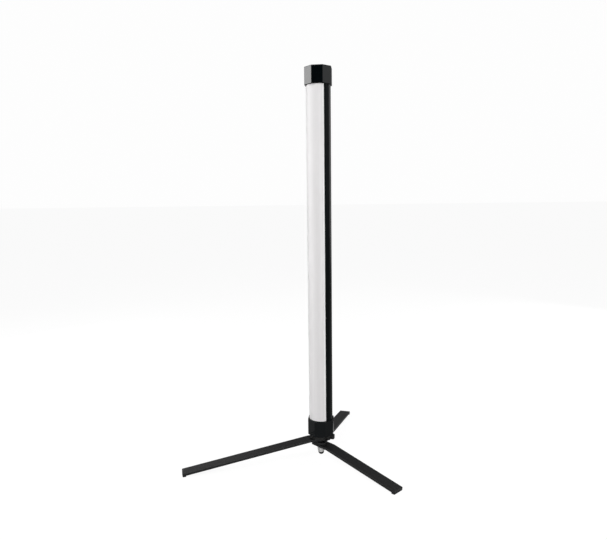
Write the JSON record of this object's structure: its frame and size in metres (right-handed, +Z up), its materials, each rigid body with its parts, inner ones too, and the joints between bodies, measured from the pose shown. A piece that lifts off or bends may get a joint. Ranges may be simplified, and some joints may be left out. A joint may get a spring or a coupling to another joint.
{
  "type": "led light tube",
  "caption": "Battery LED light tube with octagonal end caps, a milky half-round diffuser and a dark housing, upright on a folding stand of flat bent legs.",
  "frame": {"origin": "the point on the floor under the tube's axis", "axes": "+Z up along the tube's axis; -Y is the front; azimuths turn about +Z from -Y towards +X"},
  "size_m": [0.4313, 0.3882, 0.7917],
  "materials": {
    "housing_anodised": "satin black anodised",
    "diffuser_milky": "satin milky polycarbonate",
    "thermal_grey": "matte",
    "board_white": "white solder mask on an aluminium board",
    "led_phosphor": "gloss",
    "cell_can": null,
    "nickel": "bright",
    "plastic_dark": "matte",
    "lead_red": "satin",
    "panel_black": "fine texture",
    "screw_black": "black oxide",
    "window_dark": "polished",
    "module_grey": "satin",
    "board_green": "solder mask",
    "steel_plain": "plain zinc",
    "cap_gloss": "gloss black",
    "rubber_black": "matte",
    "brass_insert": "turned",
    "hub_black": "semi-gloss black",
    "washer_black": "nylon",
    "nut_chrome": "polished",
    "key_grey": "satin",
    "leg_paint": "satin black powder coat"
  },
  "bodies": {
    "stand": {"hub_plate": "hub_black", "hub_pad": "rubber_black", "stud": "steel_plain", "spacer_washers": "washer_black", "spring_washer": "steel_plain", "nut_washer": "steel_plain", "dome_nut": "nut_chrome"},
    "light": {"housing": "housing_anodised", "diffuser": "diffuser_milky", "thermal_pad": "thermal_grey", "led_board": "board_white", "led_chips": "led_phosphor", "battery_cells": "cell_can", "cell_links": "nickel", "battery_cradle": "plastic_dark", "battery_leads": "lead_red", "led_leads": "lead_red", "control_panel": "panel_black", "panel_screws": "screw_black", "display_window": "window_dark", "display_module": "module_grey", "control_board": "board_green", "tact_switches": "module_grey", "board_chips": "plastic_dark", "usb_port": "steel_plain", "bottom_cap": "cap_gloss", "top_cap": "cap_gloss", "bottom_gasket": "rubber_black", "top_gasket": "rubber_black", "bottom_insert": "brass_insert", "top_insert": "brass_insert", "bottom_cap_screws": "screw_black", "top_cap_screws": "screw_black"},
    "leg_left": {"leg_left": "leg_paint", "foot_left": "rubber_black"},
    "leg_right": {"leg_right": "leg_paint", "foot_right": "rubber_black"},
    "leg_rear": {"leg_rear": "leg_paint", "foot_rear": "rubber_black"},
    "power_button": {"power_button": "key_grey"},
    "minus_button": {"minus_button": "key_grey"},
    "plus_button": {"plus_button": "key_grey"},
    "mode_button": {"mode_button": "key_grey"}
  },
  "joints": [
    {"name": "light_turn", "type": "hinge", "parent": "stand", "child": "light", "pos_m": [0, 0, 0.0537], "axis": [0, 0, 1], "range_deg": [-180, 180]},
    {"name": "leg_left_swing", "type": "hinge", "parent": "stand", "child": "leg_left", "pos_m": [0, 0, 0.03995], "axis": [0, 0, 1], "continuous": true},
    {"name": "leg_right_swing", "type": "hinge", "parent": "stand", "child": "leg_right", "pos_m": [0, 0, 0.02695], "axis": [0, 0, 1], "continuous": true},
    {"name": "leg_rear_swing", "type": "hinge", "parent": "stand", "child": "leg_rear", "pos_m": [0, 0, 0.03345], "axis": [0, 0, 1], "continuous": true},
    {"name": "power_press", "type": "slide", "parent": "light", "child": "power_button", "axis": [-0.7683, -0.6401, 0], "range_m": [0, 0.0005], "stiffness_N_per_m": 1500, "springref_m": -0.0005},
    {"name": "minus_press", "type": "slide", "parent": "light", "child": "minus_button", "axis": [-0.7683, -0.6401, 0], "range_m": [0, 0.0005], "stiffness_N_per_m": 1500, "springref_m": -0.0005},
    {"name": "plus_press", "type": "slide", "parent": "light", "child": "plus_button", "axis": [-0.7683, -0.6401, 0], "range_m": [0, 0.0005], "stiffness_N_per_m": 1500, "springref_m": -0.0005},
    {"name": "mode_press", "type": "slide", "parent": "light", "child": "mode_button", "axis": [-0.7683, -0.6401, 0], "range_m": [0, 0.0005], "stiffness_N_per_m": 1500, "springref_m": -0.0005}
  ]
}
